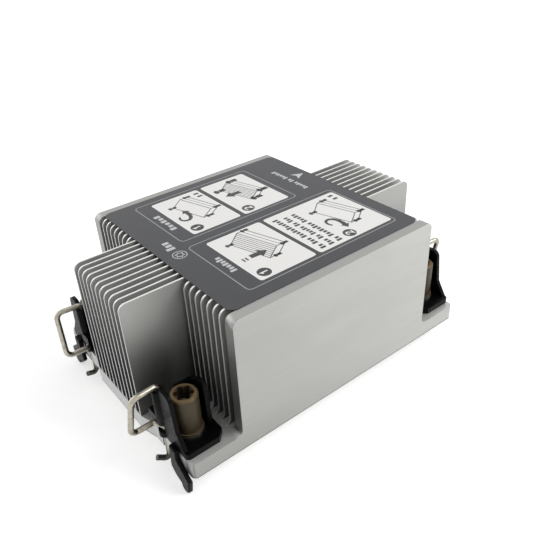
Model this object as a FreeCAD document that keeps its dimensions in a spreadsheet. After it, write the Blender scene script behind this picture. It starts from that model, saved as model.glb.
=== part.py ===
import FreeCAD, Part
import math
import os
import Sketcher

# Passive heatsink for a server processor: an extruded fin block on a machined base, with a
# plastic holder at each corner that carries a captive nut and a turning wire bail.
# Millimetres, +Z up. The origin is the middle of the contact face under the base,
# X runs across the fins and Y runs along them, with the air flow.

Vector = FreeCAD.Vector
doc = FreeCAD.newDocument("heatsink")
sheet = doc.addObject("Spreadsheet::Sheet", "sizes")

DRIVING_SIZES = [
    ("body_width", 78.0, "across the two side plates"),
    ("body_length", 110.3, "along the long middle fins"),
    ("body_height", 44.4, "contact face to fin tips"),
    ("base_height", 5.8, "contact face to the channel floor"),
    ("plate_thickness", 3.5, "thick outer wall each side"),
    ("fin_thickness", 0.6, "every thin fin"),
    ("channel_count", 26, "air channels between the side plates"),
    ("tongue_channels", 10, "air channels between the long middle fins"),
    ("corner_length", 18.05, "long fin ends to the ends of all other fins"),
    ("fin_corner_radius", 2.2, "rounded upper ends of the fins"),
    ("cutter_radius", 2.0, "cove that the milling cutter leaves at the fin roots"),
    ("ledge_step", 1.45, "long fin ends to the base ends under the holders"),
    ("ledge_corner_radius", 1.6, "upright corners of the base"),
    ("tongue_taper", 5.2, "slanted side of the tongue under the long fins"),
    ("base_edge_chamfer", 0.4, "lower edge all round the base"),
    ("stud_inset_x", 10.4, "nut axis to the outer face of a side plate"),
    ("stud_inset_y", 7.35, "nut axis to the long fin ends"),
    ("neck_hole_diameter", 6.9, "hole in the base for a nut's neck"),
    ("ring_pocket_diameter", 9.8, "counterbore under the base for a retaining ring"),
    ("ring_pocket_depth", 3.2, "depth of that counterbore"),
    ("label_left_margin", 3.0, "label to the left side plate's face"),
    ("label_right_margin", 3.5, "label to the right side plate's face"),
    ("label_end_margin", 1.95, "label to the ends of the side plates"),
    ("label_thickness", 0.2, "label sheet"),
    ("label_corner_radius", 2.5, "label corners"),
    ("nut_diameter", 7.8, "barrel of a nut"),
    ("nut_height", 12.4, "barrel above its seat"),
    ("nut_edge_chamfer", 0.35, "top edge of the barrel"),
    ("nut_flange_diameter", 8.3, "collar at the foot of the barrel"),
    ("nut_flange_height", 0.7, "collar thickness"),
    ("neck_diameter", 6.4, "neck that runs down through the base"),
    ("neck_recess", 0.7, "neck end above the contact face"),
    ("thread_diameter", 4.14, "tapped bore, open downwards"),
    ("thread_depth", 11.3, "depth of the tapped bore"),
    ("socket_core_diameter", 4.05, "six lobe socket inside its lobes"),
    ("socket_diameter", 5.75, "six lobe socket over its lobes"),
    ("lobe_diameter", 1.44, "rounding of one lobe"),
    ("lobe_count", 6, "lobes of the socket"),
    ("socket_depth", 4.2, "depth of the socket"),
    ("washer_diameter", 8.8, "washer under a nut"),
    ("washer_thickness", 0.6, "washer under a nut"),
    ("ring_diameter", 8.8, "retaining ring outside"),
    ("ring_thickness", 0.8, "retaining ring"),
    ("ring_height", 1.65, "ring above the contact face"),
    ("groove_depth", 0.5, "ring groove in the neck"),
    ("ring_opening", 70.0, "gap of the open ring, in degrees"),
    ("fit_clearance", 0.05, "ring and wire in their seats"),
    ("running_gap", 0.75, "barrel to the holder around it"),
    ("holder_floor", 2.0, "holder plate on the base"),
    ("holder_wall", 1.3, "holder walls"),
    ("holder_height", 16.4, "bearing post above the base"),
    ("wall_crest", 1.8, "arched outer wall above the bearing post"),
    ("wall_corner_radius", 2.3, "upper corner of the outer wall"),
    ("wall_top_reach", 2.8, "nut axis to the outer wall's edge at its top"),
    ("wall_flare", 1.0, "how far the outer wall leans out below its top"),
    ("wall_flare_height", 7.0, "where the outer wall starts to widen, above the base"),
    ("side_wall_height", 13.6, "wall beside the nut above the base"),
    ("side_wall_end", 0.5, "that wall past the nut axis"),
    ("back_wall_crest", 3.9, "back wall above the wall beside the nut"),
    ("back_wall_reach", 2.4, "nut axis to the back wall's edge at its top"),
    ("back_wall_spread", 0.8, "back wall wider at its foot"),
    ("back_wall_corner_radius", 1.0, "upper corner of the back wall"),
    ("holder_side_reach", 8.2, "nut axis to the plate's side edge"),
    ("holder_back_reach", 6.9, "nut axis to the plate's back edge"),
    ("holder_corner_cut", 2.4, "bevelled back corners of the plate"),
    ("plate_corner_radius", 1.3, "outer corner of the plate"),
    ("latch_reach", 8.7, "nut axis to the latch arm's end"),
    ("latch_height", 3.2, "latch arm"),
    ("leg_gap", 0.2, "leg to the end of the base"),
    ("leg_thickness", 1.3, "leg that hangs past the base"),
    ("leg_start", 0.9, "nut axis to the leg's inner edge"),
    ("leg_top_width", 3.3, "leg at its shoulder"),
    ("leg_shoulder_height", 1.1, "shoulder that joins the leg to the plate"),
    ("leg_neck_length", 2.2, "upright outer edge of the leg below the shoulder"),
    ("leg_heel_reach", 0.6, "leg's inner edge leans back this far"),
    ("leg_heel_drop", 1.3, "corner of that edge below the contact face"),
    ("leg_knee_reach", 1.5, "knee of the leg beside its inner edge"),
    ("leg_knee_drop", 3.4, "knee below the contact face"),
    ("leg_toe_reach", 2.7, "widest point of the leg beside its tip"),
    ("leg_toe_drop", 0.6, "that point below the contact face"),
    ("leg_lean", 7.0, "nut axis to the middle of the leg's tip"),
    ("leg_drop", 6.3, "leg tip below the contact face"),
    ("leg_tip_radius", 1.9, "rounded leg tip"),
    ("leg_edge_radius", 0.5, "rounded outer edges of the leg"),
    ("wire_diameter", 1.7, "bail wire"),
    ("pivot_offset_x", 4.3, "nut axis to the bail's pivot, across the fins"),
    ("pivot_offset_y", 5.2, "nut axis to the bail's pivot, along the fins"),
    ("post_diameter", 3.6, "bearing post of the bail"),
    ("arm_room", 4.4, "post end above the base, over the bail's lower arm"),
    ("notch_clearance", 0.3, "bail shaft to its notch in the base"),
    ("bail_reach", 7.9, "pivot to the handle's upper corner"),
    ("bail_lower_reach", 8.8, "pivot to the handle's lower corner"),
    ("bail_top", 17.7, "upper arm above the base"),
    ("bail_bottom", 3.1, "lower arm above the base"),
    ("bail_lean_out", 0.6, "upper corner beside the pivot"),
    ("bail_lean_in", 2.8, "lower corner beside the pivot"),
    ("bail_jog", 1.6, "bend of the lower arm before the pivot"),
    ("bail_bend_radius", 2.1, "handle corners, to the wire's middle"),
    ("shaft_bend_radius", 1.2, "tight bends at the shaft"),
    ("pin_length", 6.5, "upper pivot pin"),
    ("foot_drop", 4.2, "shaft end below the contact face"),
    ("foot_reach", 3.6, "hooked foot, outwards"),
    ("foot_rise", 1.8, "hooked foot, upwards"),
    ("foot_lean", 1.1, "hooked foot, towards the tongue"),
]
for row, (alias, number, meaning) in enumerate(DRIVING_SIZES, start=1):
    sheet.set("A%d" % row, meaning)
    sheet.set("B%d" % row, str(number))
    sheet.setAlias("B%d" % row, alias)
doc.recompute()

# Places worked out from the driving sizes, as expressions.
FIN_ROOM = "(sizes.body_width - 2 * sizes.plate_thickness + sizes.fin_thickness)"
CHANNEL = "(%s / sizes.channel_count)" % FIN_ROOM
CHANNEL_WIDTH = "(%s - sizes.fin_thickness)" % CHANNEL
HALF_WIDTH = "sizes.body_width / 2"
HALF_LENGTH = "sizes.body_length / 2"
HALF_TONGUE = "(sizes.tongue_channels / 2 * %s + sizes.fin_thickness / 2)" % CHANNEL
HALF_LEDGE = "(%s - sizes.ledge_step)" % HALF_LENGTH
FIN_END = "(%s - sizes.corner_length)" % HALF_LENGTH
NUT_X = "(%s - sizes.stud_inset_x)" % HALF_WIDTH
NUT_Y = "(%s - sizes.stud_inset_y)" % HALF_LENGTH
NUT_RADIUS = "sizes.nut_diameter / 2"
WALL_INNER = "(%s + %s + sizes.running_gap)" % (NUT_Y, NUT_RADIUS)
WALL_OUTER = "(%s + sizes.holder_wall)" % WALL_INNER
LEG_INNER = "(%s + sizes.leg_gap)" % HALF_LEDGE
LEG_OUTER = "(%s + sizes.leg_thickness)" % LEG_INNER
BACK_WALL = "(%s - %s - sizes.running_gap)" % (NUT_Y, NUT_RADIUS)
SIDE_WALL = "(%s - %s - sizes.running_gap)" % (NUT_X, NUT_RADIUS)
BACK_EDGE = "(%s - sizes.holder_back_reach)" % NUT_Y
SIDE_EDGE = "(%s + sizes.holder_side_reach)" % NUT_X
PIVOT_X = "(%s - sizes.pivot_offset_x)" % NUT_X
PIVOT_Y = "(%s + sizes.pivot_offset_y)" % NUT_Y
SEAT = "(sizes.base_height + sizes.holder_floor + sizes.washer_thickness)"

# How far a cut runs past the metal, and cuts right through the base and through a holder.
OVERSHOOT = "2"
THROUGH_BASE = "2 * (sizes.base_height + %s)" % OVERSHOOT
THROUGH_HOLDER = "2 * (sizes.base_height + sizes.holder_height + sizes.wall_crest + %s)" % OVERSHOOT
TOLERANCE = 1e-6


def value(expression):
    """Number that an expression gives with the present sizes."""
    return float(sheet.evalExpression(expression))


def size(alias):
    return float(sheet.get(alias))


def origin_plane(body, role):
    return [part for part in body.Origin.OriginFeatures if part.Role == role][0]


def new_sketch(body, name, role, offset="0"):
    """Sketch on one of the body's origin planes, moved along that plane's normal."""
    sketch = body.newObject("Sketcher::SketchObject", name)
    sketch.AttachmentSupport = [(origin_plane(body, role), "")]
    sketch.MapMode = "FlatFace"
    sketch.setExpression("AttachmentOffset.Base.z", offset)
    return sketch


def tie(sketch, kind, references, expression):
    """Constraint with a size that follows an expression."""
    number = sketch.addConstraint(Sketcher.Constraint(kind, *references, value(expression)))
    sketch.setExpression("Constraints[%d]" % number, expression)


def fix_point(sketch, edge, end, place):
    """Tie one end of an edge to a place given by two expressions."""
    for kind, expression in zip(("DistanceX", "DistanceY"), place):
        tie(sketch, kind, (-1, 1, edge, end), expression)


def arc_through(start, end, radius, side):
    """Arc between two corners, with its middle on the left (1) or right (-1) of the way."""
    chord = end - start
    sideways = Vector(-chord.y, chord.x, 0).normalize() * side
    height = math.sqrt(max(radius ** 2 - chord.Length ** 2 / 4, 0))
    half_way = (start + end) * 0.5
    middle = half_way + sideways * height
    outward = half_way - middle
    if outward.Length < TOLERANCE:
        outward = sideways * -1
    return Part.ArcOfCircle(start, middle + outward.normalize() * radius, end)


def add_loop(sketch, corners):
    """Closed outline. A corner is (x, y), or (x, y, radius, side) when an arc leads to the next
    corner, with its middle on the left (1) or right (-1) of the way there. A half circle between
    two corners of one height has the side 2 or -2, and its middle is tied to that height."""
    first = sketch.GeometryCount
    places = [Vector(value(corner[0]), value(corner[1]), 0) for corner in corners]
    runs_back = [len(corner) == 4 and corner[3] < 0 for corner in corners]
    for index, corner in enumerate(corners):
        start = places[index]
        end = places[(index + 1) % len(corners)]
        if len(corner) == 2:
            sketch.addGeometry(Part.LineSegment(start, end), False)
        else:
            side = math.copysign(1, corner[3])
            sketch.addGeometry(arc_through(start, end, value(corner[2]), side), False)
    for index, corner in enumerate(corners):
        edge = first + index
        following = (index + 1) % len(corners)
        edge_start, edge_end = (2, 1) if runs_back[index] else (1, 2)
        next_start = 2 if runs_back[following] else 1
        joined = (edge, edge_end, first + following, next_start)
        sketch.addConstraint(Sketcher.Constraint("Coincident", *joined))
        fix_point(sketch, edge, edge_start, corner[:2])
        if len(corner) == 4 and abs(corner[3]) == 1:
            tie(sketch, "Radius", (edge,), corner[2])
        if len(corner) == 4 and abs(corner[3]) == 2:
            tie(sketch, "DistanceY", (-1, 1, edge, 3), corner[1])


def add_circle(sketch, x, y, radius):
    middle = Vector(value(x), value(y), 0)
    circle = Part.Circle(middle, Vector(0, 0, 1), value(radius))
    edge = sketch.addGeometry(circle, False)
    fix_point(sketch, edge, 3, (x, y))
    tie(sketch, "Radius", (edge,), radius)


def add_pad(body, name, sketch, length, symmetric=False):
    pad = body.newObject("PartDesign::Pad", name)
    pad.Profile = sketch
    pad.SideType = "Symmetric" if symmetric else "One side"
    pad.setExpression("Length", length)
    return pad


def add_pocket(body, name, sketch, length, symmetric=False, reversed_way=False):
    pocket = body.newObject("PartDesign::Pocket", name)
    pocket.Profile = sketch
    pocket.SideType = "Symmetric" if symmetric else "One side"
    pocket.Reversed = reversed_way
    pocket.setExpression("Length", length)
    return pocket


def check_cut(body, cut, before):
    """A pocket that points away from the metal removes nothing, so the volume is compared."""
    doc.recompute()
    if not body.Shape.Volume < before - TOLERANCE:
        raise RuntimeError("%s removes nothing" % cut.Name)


def edges_where(feature, inside):
    """Names of a feature's edges whose bounding boxes pass a test."""
    edges = enumerate(feature.Shape.Edges, start=1)
    return ["Edge%d" % number for number, edge in edges if inside(edge.BoundBox)]


def positive(expression):
    return "(%s)" % expression


def negative(expression):
    return "-(%s)" % expression


def plus(expression, amount):
    return "%s + %s" % (expression, amount)


def minus(expression, amount):
    return "%s - %s" % (expression, amount)


ACROSS = Vector(1, 0, 0)
ALONG = Vector(0, 1, 0)


def mirror_piece(source, name, normal):
    """The same piece at another corner, mirrored through the middle of the heatsink."""
    piece = doc.addObject("Part::Mirroring", name)
    piece.Source = source
    piece.Normal = normal
    piece.Base = Vector(0, 0, 0)
    return piece


def corner_profile(mirror):
    """Outline of the metal that milling takes away beside the long fins, at one end."""
    side = 1 if mirror is positive else -1
    beyond = plus(HALF_LENGTH, OVERSHOOT)
    above = plus("sizes.body_height", OVERSHOOT)
    curve_start = minus(FIN_END, "sizes.fin_corner_radius")
    curve_end = minus("sizes.body_height", "sizes.fin_corner_radius")
    cove_top = plus("sizes.base_height", "sizes.cutter_radius")
    return [
        (mirror(beyond), above),
        (mirror(curve_start), above),
        (mirror(curve_start), "sizes.body_height", "sizes.fin_corner_radius", -side),
        (mirror(FIN_END), curve_end),
        (mirror(FIN_END), cove_top, "sizes.cutter_radius", side),
        (mirror(plus(FIN_END, "sizes.cutter_radius")), "sizes.base_height"),
        (mirror(beyond), "sizes.base_height"),
    ]


def tip_profile(mirror):
    """Outline of the metal that is rounded off the long fins, at one end."""
    side = 1 if mirror is positive else -1
    beyond = plus(HALF_LENGTH, OVERSHOOT)
    above = plus("sizes.body_height", OVERSHOOT)
    curve_start = minus(HALF_LENGTH, "sizes.fin_corner_radius")
    curve_end = minus("sizes.body_height", "sizes.fin_corner_radius")
    return [
        (mirror(curve_start), "sizes.body_height", "sizes.fin_corner_radius", -side),
        (mirror(HALF_LENGTH), curve_end),
        (mirror(beyond), curve_end),
        (mirror(beyond), above),
        (mirror(curve_start), above),
    ]


def ledge_profile(mirror_x, mirror_y):
    """Outline of the metal outside the base at one corner, beside the tongue."""
    side = -1 if mirror_x is mirror_y else 1
    beyond = plus(HALF_LENGTH, OVERSHOOT)
    aside = plus(HALF_WIDTH, OVERSHOOT)
    curve_x = minus(HALF_WIDTH, "sizes.ledge_corner_radius")
    curve_y = minus(HALF_LEDGE, "sizes.ledge_corner_radius")
    return [
        (mirror_x(HALF_TONGUE), mirror_y(beyond)),
        (mirror_x(HALF_TONGUE), mirror_y(HALF_LENGTH)),
        (mirror_x(plus(HALF_TONGUE, "sizes.tongue_taper")), mirror_y(HALF_LEDGE)),
        (mirror_x(curve_x), mirror_y(HALF_LEDGE), "sizes.ledge_corner_radius", side),
        (mirror_x(HALF_WIDTH), mirror_y(curve_y)),
        (mirror_x(aside), mirror_y(curve_y)),
        (mirror_x(aside), mirror_y(beyond)),
    ]


def notch_profile(mirror_x, mirror_y):
    """Outline of the round ended notch that a bail's shaft stands in."""
    side = 2 if mirror_x is mirror_y else -2
    beyond = plus(HALF_LENGTH, OVERSHOOT)
    radius = "(sizes.wire_diameter / 2 + sizes.notch_clearance)"
    return [
        (mirror_x(minus(PIVOT_X, radius)), mirror_y(beyond)),
        (mirror_x(minus(PIVOT_X, radius)), mirror_y(PIVOT_Y), radius, side),
        (mirror_x(plus(PIVOT_X, radius)), mirror_y(PIVOT_Y)),
        (mirror_x(plus(PIVOT_X, radius)), mirror_y(beyond)),
    ]


def make_heatsink_body():
    """Extruded block with its air channels, milled at the corners and drilled."""
    body = doc.addObject("PartDesign::Body", "heatsink_body")
    ends = new_sketch(body, "block_section", "XZ_Plane")
    add_loop(ends, [
        (negative(HALF_WIDTH), "0"),
        (HALF_WIDTH, "0"),
        (HALF_WIDTH, "sizes.body_height"),
        (negative(HALF_WIDTH), "sizes.body_height"),
    ])
    add_pad(body, "block", ends, "sizes.body_length", symmetric=True)
    doc.recompute()

    volume = body.Shape.Volume
    first_middle = "(%s / 2 - sizes.channel_count * %s / 2)" % (CHANNEL, CHANNEL)
    left = "(%s - %s / 2)" % (first_middle, CHANNEL_WIDTH)
    right = "(%s + %s / 2)" % (first_middle, CHANNEL_WIDTH)
    above = plus("sizes.body_height", OVERSHOOT)
    channel = new_sketch(body, "channel_section", "XZ_Plane")
    add_loop(channel, [
        (left, "sizes.base_height"),
        (right, "sizes.base_height"),
        (right, above),
        (left, above),
    ])
    run = plus("sizes.body_length", OVERSHOOT)
    first_channel = add_pocket(body, "first_channel", channel, run, symmetric=True)
    check_cut(body, first_channel, volume)
    channels = body.newObject("PartDesign::LinearPattern", "channels")
    channels.Originals = [first_channel]
    channels.Direction = (origin_plane(body, "X_Axis"), [""])
    channels.setExpression("Occurrences", "sizes.channel_count")
    channels.setExpression("Length", "(sizes.channel_count - 1) * %s" % CHANNEL)
    body.Tip = channels
    doc.recompute()

    volume = body.Shape.Volume
    corners = new_sketch(body, "corner_milling", "YZ_Plane", HALF_TONGUE)
    for mirror in (positive, negative):
        add_loop(corners, corner_profile(mirror))
    milling = add_pocket(body, "right_corners", corners, HALF_WIDTH, reversed_way=True)
    check_cut(body, milling, volume)
    milled = body.newObject("PartDesign::Mirrored", "left_corners")
    milled.Originals = [milling]
    milled.MirrorPlane = (origin_plane(body, "YZ_Plane"), [""])
    body.Tip = milled
    doc.recompute()

    volume = body.Shape.Volume
    tips = new_sketch(body, "long_fin_tips", "YZ_Plane")
    for mirror in (positive, negative):
        add_loop(tips, tip_profile(mirror))
    across = plus("sizes.body_width", OVERSHOOT)
    rounding = add_pocket(body, "long_fin_rounding", tips, across, symmetric=True)
    check_cut(body, rounding, volume)

    volume = body.Shape.Volume
    ledges = new_sketch(body, "ledge_ends", "XY_Plane")
    for mirror_x in (positive, negative):
        for mirror_y in (positive, negative):
            add_loop(ledges, ledge_profile(mirror_x, mirror_y))
    ledge_cut = add_pocket(body, "ledge_cut", ledges, THROUGH_BASE, symmetric=True)
    check_cut(body, ledge_cut, volume)

    volume = body.Shape.Volume
    chamfer = body.newObject("PartDesign::Chamfer", "base_edge")
    chamfer.Base = (ledge_cut, edges_where(ledge_cut, lambda box: abs(box.ZMax) < TOLERANCE))
    chamfer.setExpression("Size", "sizes.base_edge_chamfer")
    check_cut(body, chamfer, volume)

    volume = body.Shape.Volume
    openings = new_sketch(body, "neck_holes_and_notches", "XY_Plane")
    neck_hole = "sizes.neck_hole_diameter / 2"
    for mirror_x in (positive, negative):
        for mirror_y in (positive, negative):
            add_circle(openings, mirror_x(NUT_X), mirror_y(NUT_Y), neck_hole)
            add_loop(openings, notch_profile(mirror_x, mirror_y))
    drilling = add_pocket(body, "drilling", openings, THROUGH_BASE, symmetric=True)
    check_cut(body, drilling, volume)

    volume = body.Shape.Volume
    pockets = new_sketch(body, "ring_pocket_circles", "XY_Plane")
    ring_pocket = "sizes.ring_pocket_diameter / 2"
    for mirror_x in (positive, negative):
        for mirror_y in (positive, negative):
            add_circle(pockets, mirror_x(NUT_X), mirror_y(NUT_Y), ring_pocket)
    depth = "sizes.ring_pocket_depth"
    counterbores = add_pocket(body, "ring_pockets", pockets, depth, reversed_way=True)
    check_cut(body, counterbores, volume)
    return body


def make_label():
    """Rounded sheet stuck to the fin tips."""
    body = doc.addObject("PartDesign::Body", "label")
    outline = new_sketch(body, "label_outline", "XY_Plane", "sizes.body_height")
    low_x = "(sizes.label_left_margin - %s)" % HALF_WIDTH
    high_x = "(%s - sizes.label_right_margin)" % HALF_WIDTH
    low_y = "(sizes.label_end_margin - %s)" % FIN_END
    high_y = "(%s - sizes.label_end_margin)" % FIN_END
    radius = "sizes.label_corner_radius"
    add_loop(outline, [
        (plus(low_x, radius), low_y),
        (minus(high_x, radius), low_y, radius, 1),
        (high_x, plus(low_y, radius)),
        (high_x, minus(high_y, radius), radius, 1),
        (minus(high_x, radius), high_y),
        (plus(low_x, radius), high_y, radius, 1),
        (low_x, minus(high_y, radius)),
        (low_x, plus(low_y, radius), radius, 1),
    ])
    add_pad(body, "label_sheet", outline, "sizes.label_thickness")
    return body


def make_holder_moulding():
    """Moulded holder at the corner with +X and -Y: plate, walls round the nut, bearing post for
    the bail and latch arm."""
    body = doc.addObject("PartDesign::Body", "holder_moulding")
    floor_top = "(sizes.base_height + sizes.holder_floor)"
    post_radius = "(sizes.post_diameter / 2)"
    post_bottom = "(sizes.base_height + sizes.arm_room)"
    post_top = "(sizes.base_height + sizes.holder_height)"

    plate = new_sketch(body, "plate_outline", "XY_Plane", "sizes.base_height")
    plate_left = minus(PIVOT_X, post_radius)
    plate_corner = "sizes.plate_corner_radius"
    bevel_end = plus(BACK_EDGE, "sizes.holder_corner_cut")
    add_loop(plate, [
        (plate_left, negative(bevel_end)),
        (plate_left, negative(WALL_OUTER)),
        (minus(SIDE_EDGE, plate_corner), negative(WALL_OUTER), plate_corner, 1),
        (SIDE_EDGE, negative(minus(WALL_OUTER, plate_corner))),
        (SIDE_EDGE, negative(bevel_end)),
        (minus(SIDE_EDGE, "sizes.holder_corner_cut"), negative(BACK_EDGE)),
        (plus(plate_left, "sizes.holder_corner_cut"), negative(BACK_EDGE)),
    ])
    add_pad(body, "plate", plate, "sizes.holder_floor")

    boss = new_sketch(body, "lower_bearing_circle", "XY_Plane", "sizes.base_height")
    add_circle(boss, PIVOT_X, negative(PIVOT_Y), post_radius)
    add_pad(body, "lower_bearing", boss, "sizes.holder_floor")

    wall = new_sketch(body, "outer_wall_outline", "XZ_Plane", WALL_INNER)
    wall_start = "(%s + sizes.wire_diameter / 2 + sizes.running_gap)" % PIVOT_X
    wall_side = "(%s + sizes.wall_top_reach)" % NUT_X
    wall_crest = "(%s + sizes.wall_crest)" % post_top
    wall_foot = minus(SIDE_EDGE, plate_corner)
    wall_corner = "sizes.wall_corner_radius"
    add_loop(wall, [
        (wall_start, "sizes.base_height"),
        (wall_foot, "sizes.base_height"),
        (wall_foot, floor_top),
        (plus(wall_side, "sizes.wall_flare"), "sizes.base_height + sizes.wall_flare_height"),
        (wall_side, minus(wall_crest, wall_corner), wall_corner, 1),
        (minus(wall_side, wall_corner), wall_crest),
        (plus(wall_start, "sizes.wall_crest"), wall_crest, "sizes.wall_crest", 1),
        (wall_start, post_top),
        (PIVOT_X, post_top),
        (PIVOT_X, post_bottom),
        (wall_start, post_bottom),
    ])
    add_pad(body, "outer_wall", wall, "sizes.holder_wall")

    back = new_sketch(body, "back_wall_outline", "XZ_Plane", minus(BACK_WALL, "sizes.holder_wall"))
    side_left = minus(SIDE_WALL, "sizes.holder_wall")
    side_top = "(sizes.base_height + sizes.side_wall_height)"
    back_top = "(%s + sizes.back_wall_crest)" % side_top
    back_side = "(%s + sizes.back_wall_reach)" % NUT_X
    back_corner = "sizes.back_wall_corner_radius"
    add_loop(back, [
        (side_left, "sizes.base_height"),
        (plus(back_side, "sizes.back_wall_spread"), "sizes.base_height"),
        (back_side, minus(back_top, back_corner), back_corner, 1),
        (minus(back_side, back_corner), back_top),
        (side_left, side_top),
    ])
    add_pad(body, "back_wall", back, "sizes.holder_wall")

    side = new_sketch(body, "side_wall_outline", "YZ_Plane", side_left)
    side_back = minus(BACK_WALL, "sizes.holder_wall")
    side_end = "(%s + sizes.side_wall_end)" % NUT_Y
    add_loop(side, [
        (negative(side_end), "sizes.base_height"),
        (negative(side_back), "sizes.base_height"),
        (negative(side_back), side_top),
        (negative(NUT_Y), side_top),
        (negative(side_end), "sizes.base_height + sizes.wall_flare_height"),
    ])
    add_pad(body, "side_wall", side, "sizes.holder_wall")

    latch = new_sketch(body, "latch_outline", "XY_Plane", post_bottom)
    latch_end = "(%s - sizes.latch_reach)" % NUT_X
    add_loop(latch, [
        (latch_end, negative(minus(PIVOT_Y, post_radius))),
        (latch_end, negative(plus(PIVOT_Y, post_radius))),
        (PIVOT_X, negative(plus(PIVOT_Y, post_radius))),
        (PIVOT_X, negative(minus(PIVOT_Y, post_radius))),
    ])
    add_pad(body, "latch_arm", latch, "sizes.latch_height")

    post = new_sketch(body, "post_circle", "XY_Plane", post_bottom)
    add_circle(post, PIVOT_X, negative(PIVOT_Y), post_radius)
    add_pad(body, "post", post, minus(post_top, post_bottom))
    doc.recompute()

    volume = body.Shape.Volume
    holes = new_sketch(body, "holder_holes", "XY_Plane")
    shaft_hole = "sizes.wire_diameter / 2 + sizes.fit_clearance"
    add_circle(holes, NUT_X, negative(NUT_Y), "sizes.neck_hole_diameter / 2")
    add_circle(holes, PIVOT_X, negative(PIVOT_Y), shaft_hole)
    drilled = add_pocket(body, "holder_drilling", holes, THROUGH_HOLDER, symmetric=True)
    check_cut(body, drilled, volume)
    return body


def make_leg():
    """Leg of a front holder: it hangs past the end of the base from a shoulder on the plate, and
    leans towards the side plate down to its round tip."""
    body = doc.addObject("PartDesign::Body", "holder_leg")
    left = "(%s + sizes.leg_start)" % NUT_X
    right = "(%s + sizes.leg_top_width)" % left
    shoulder = new_sketch(body, "leg_shoulder_outline", "XY_Plane", "sizes.base_height")
    add_loop(shoulder, [
        (left, negative(LEG_OUTER)),
        (right, negative(LEG_OUTER)),
        (right, negative(WALL_INNER)),
        (left, negative(WALL_INNER)),
    ])
    add_pad(body, "leg_shoulder", shoulder, "sizes.leg_shoulder_height")

    outline = new_sketch(body, "leg_outline", "XZ_Plane", LEG_INNER)
    shoulder_top = "sizes.base_height + sizes.leg_shoulder_height"
    tip = "(%s + sizes.leg_lean)" % NUT_X
    tip_radius = "sizes.leg_tip_radius"
    tip_height = "sizes.leg_tip_radius - sizes.leg_drop"
    add_loop(outline, [
        (left, shoulder_top),
        (minus(left, "sizes.leg_heel_reach"), "-sizes.leg_heel_drop"),
        (plus(left, "sizes.leg_knee_reach"), "-sizes.leg_knee_drop"),
        (minus(tip, tip_radius), tip_height, tip_radius, 2),
        (plus(tip, tip_radius), tip_height),
        (plus(tip, "sizes.leg_toe_reach"), "-sizes.leg_toe_drop"),
        (right, "sizes.base_height - sizes.leg_neck_length"),
        (right, shoulder_top),
    ])
    leg = add_pad(body, "leg", outline, "sizes.leg_thickness")
    doc.recompute()

    volume = body.Shape.Volume
    outer_face = -value(LEG_OUTER)
    rounding = body.newObject("PartDesign::Fillet", "leg_rounding")
    rounding.Base = (leg, edges_where(leg, lambda box: abs(box.YMax - outer_face) < TOLERANCE))
    rounding.setExpression("Radius", "sizes.leg_edge_radius")
    check_cut(body, rounding, volume)
    return body


def make_holders():
    """Four holders from one moulding. The two in front have a leg, and the back ones have none."""
    moulding = make_holder_moulding()
    front_right = doc.addObject("Part::Fuse", "nut_holder_front_right")
    front_right.Base = moulding
    front_right.Tool = make_leg()
    front_right.Refine = True
    front_left = mirror_piece(front_right, "nut_holder_front_left", ACROSS)
    back_right = mirror_piece(moulding, "nut_holder_back_right", ALONG)
    back_left = mirror_piece(back_right, "nut_holder_back_left", ACROSS)
    return [front_right, front_left, back_right, back_left]


def make_nut(name, x, y):
    """Captive nut: barrel with a six lobe socket, collar, grooved neck and a tapped blind bore."""
    body = doc.addObject("PartDesign::Body", name)
    top = "(%s + sizes.nut_height)" % SEAT
    neck = "sizes.neck_diameter / 2"
    groove = "(%s - sizes.groove_depth)" % neck
    groove_low = "(sizes.ring_height - sizes.fit_clearance)"
    groove_high = "(sizes.ring_height + sizes.ring_thickness + sizes.fit_clearance)"
    bore = "sizes.thread_diameter / 2"
    bore_end = "(sizes.neck_recess + sizes.thread_depth)"
    section = new_sketch(body, name + "_section", "XZ_Plane")
    add_loop(section, [
        ("0", bore_end),
        (bore, bore_end),
        (bore, "sizes.neck_recess"),
        (neck, "sizes.neck_recess"),
        (neck, groove_low),
        (groove, groove_low),
        (groove, groove_high),
        (neck, groove_high),
        (neck, SEAT),
        ("sizes.nut_flange_diameter / 2", SEAT),
        ("sizes.nut_flange_diameter / 2", "%s + sizes.nut_flange_height" % SEAT),
        (NUT_RADIUS, "%s + sizes.nut_flange_height" % SEAT),
        (NUT_RADIUS, "%s - sizes.nut_edge_chamfer" % top),
        ("%s - sizes.nut_edge_chamfer" % NUT_RADIUS, top),
        ("0", top),
    ])
    turned = body.newObject("PartDesign::Revolution", name + "_turned")
    turned.Profile = section
    turned.ReferenceAxis = (section, ["V_Axis"])
    turned.Angle = 360
    doc.recompute()

    volume = body.Shape.Volume
    core = new_sketch(body, name + "_socket_core", "XY_Plane", top)
    add_circle(core, "0", "0", "sizes.socket_core_diameter / 2")
    core_cut = add_pocket(body, name + "_core", core, "sizes.socket_depth")
    check_cut(body, core_cut, volume)
    volume = body.Shape.Volume
    lobe = new_sketch(body, name + "_lobe_circle", "XY_Plane", top)
    lobe_reach = "(sizes.socket_diameter - sizes.lobe_diameter) / 2"
    add_circle(lobe, lobe_reach, "0", "sizes.lobe_diameter / 2")
    lobe_cut = add_pocket(body, name + "_lobe", lobe, "sizes.socket_depth")
    check_cut(body, lobe_cut, volume)
    lobes = body.newObject("PartDesign::PolarPattern", name + "_lobes")
    lobes.Originals = [lobe_cut]
    lobes.Axis = (origin_plane(body, "Z_Axis"), [""])
    lobes.Angle = 360
    lobes.setExpression("Occurrences", "sizes.lobe_count")
    body.Tip = lobes
    body.setExpression("Placement.Base.x", x)
    body.setExpression("Placement.Base.y", y)
    return body


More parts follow.
